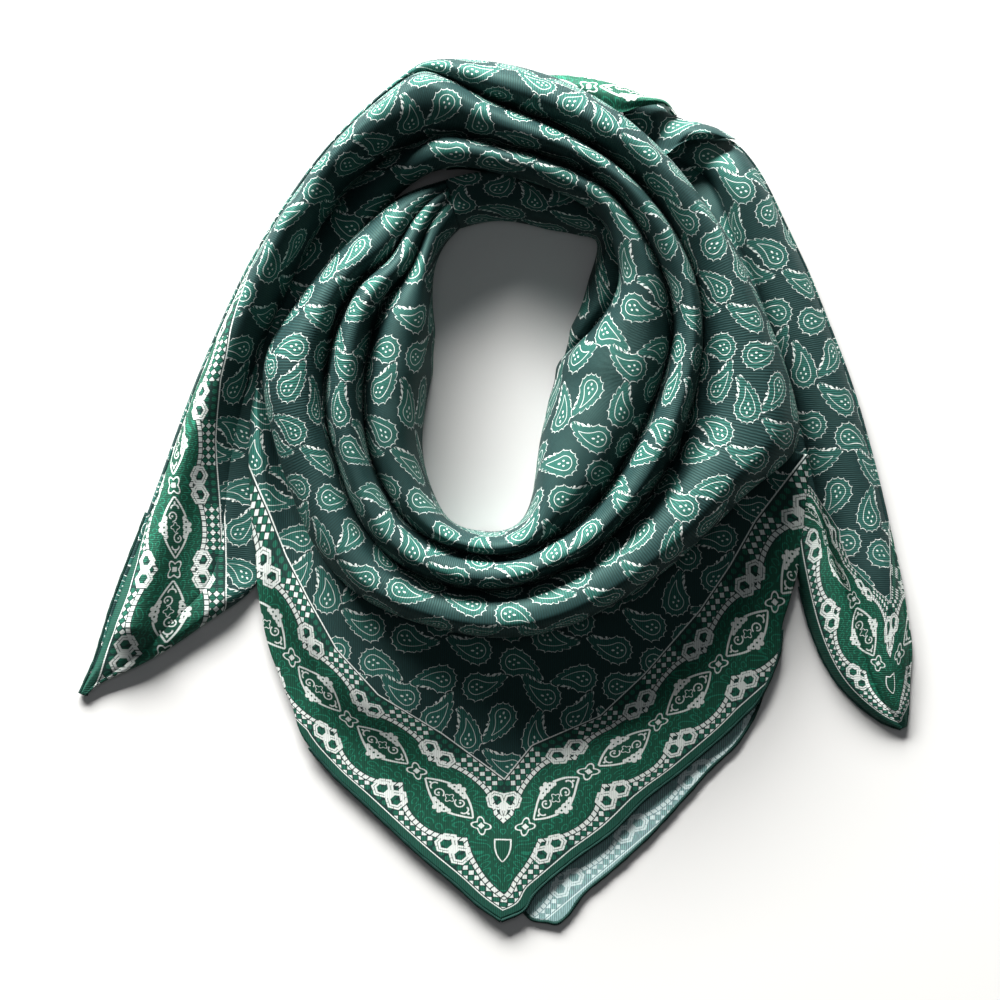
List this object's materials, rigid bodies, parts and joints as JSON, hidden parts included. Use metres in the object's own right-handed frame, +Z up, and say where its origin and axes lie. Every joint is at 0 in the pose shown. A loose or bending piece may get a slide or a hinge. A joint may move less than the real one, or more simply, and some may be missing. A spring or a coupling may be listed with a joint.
{
  "type": "bandana",
  "caption": "Square silk bandana folded to a triangle, wound into a soft ring with a front point and two tails, lying flat.",
  "frame": {"origin": "middle of the bounding box, on the surface it lies on", "axes": "+X to the right, +Y from the front point to the top of the ring, +Z up from the surface"},
  "size_m": [0.3746, 0.3889, 0.042],
  "materials": {
    "silk_face": "printed silk twill, soft sheen",
    "silk_reverse": "paler reverse side of the printed silk",
    "rolled_hem": "hand-rolled dark hem",
    "silk_inside": "hidden folded layers, matte"
  },
  "bodies": {
    "root": {"gathered_layers": "silk_inside", "neck_layer": "silk_face", "wound_band_left": "silk_face", "wound_band_front": "silk_face", "wound_band_right": "silk_face", "wound_band_top": "silk_face", "left_tail": "silk_face", "left_tail_layers": "silk_inside", "right_tail": "silk_face", "right_tail_layers": "silk_inside", "front_point": "silk_face", "front_point_under": "silk_reverse", "back_fold_upper": "silk_face", "back_fold_lower": "silk_face", "hem_point_left": "rolled_hem", "hem_point_right": "rolled_hem", "hem_point_under": "rolled_hem"}
  },
  "joints": []
}
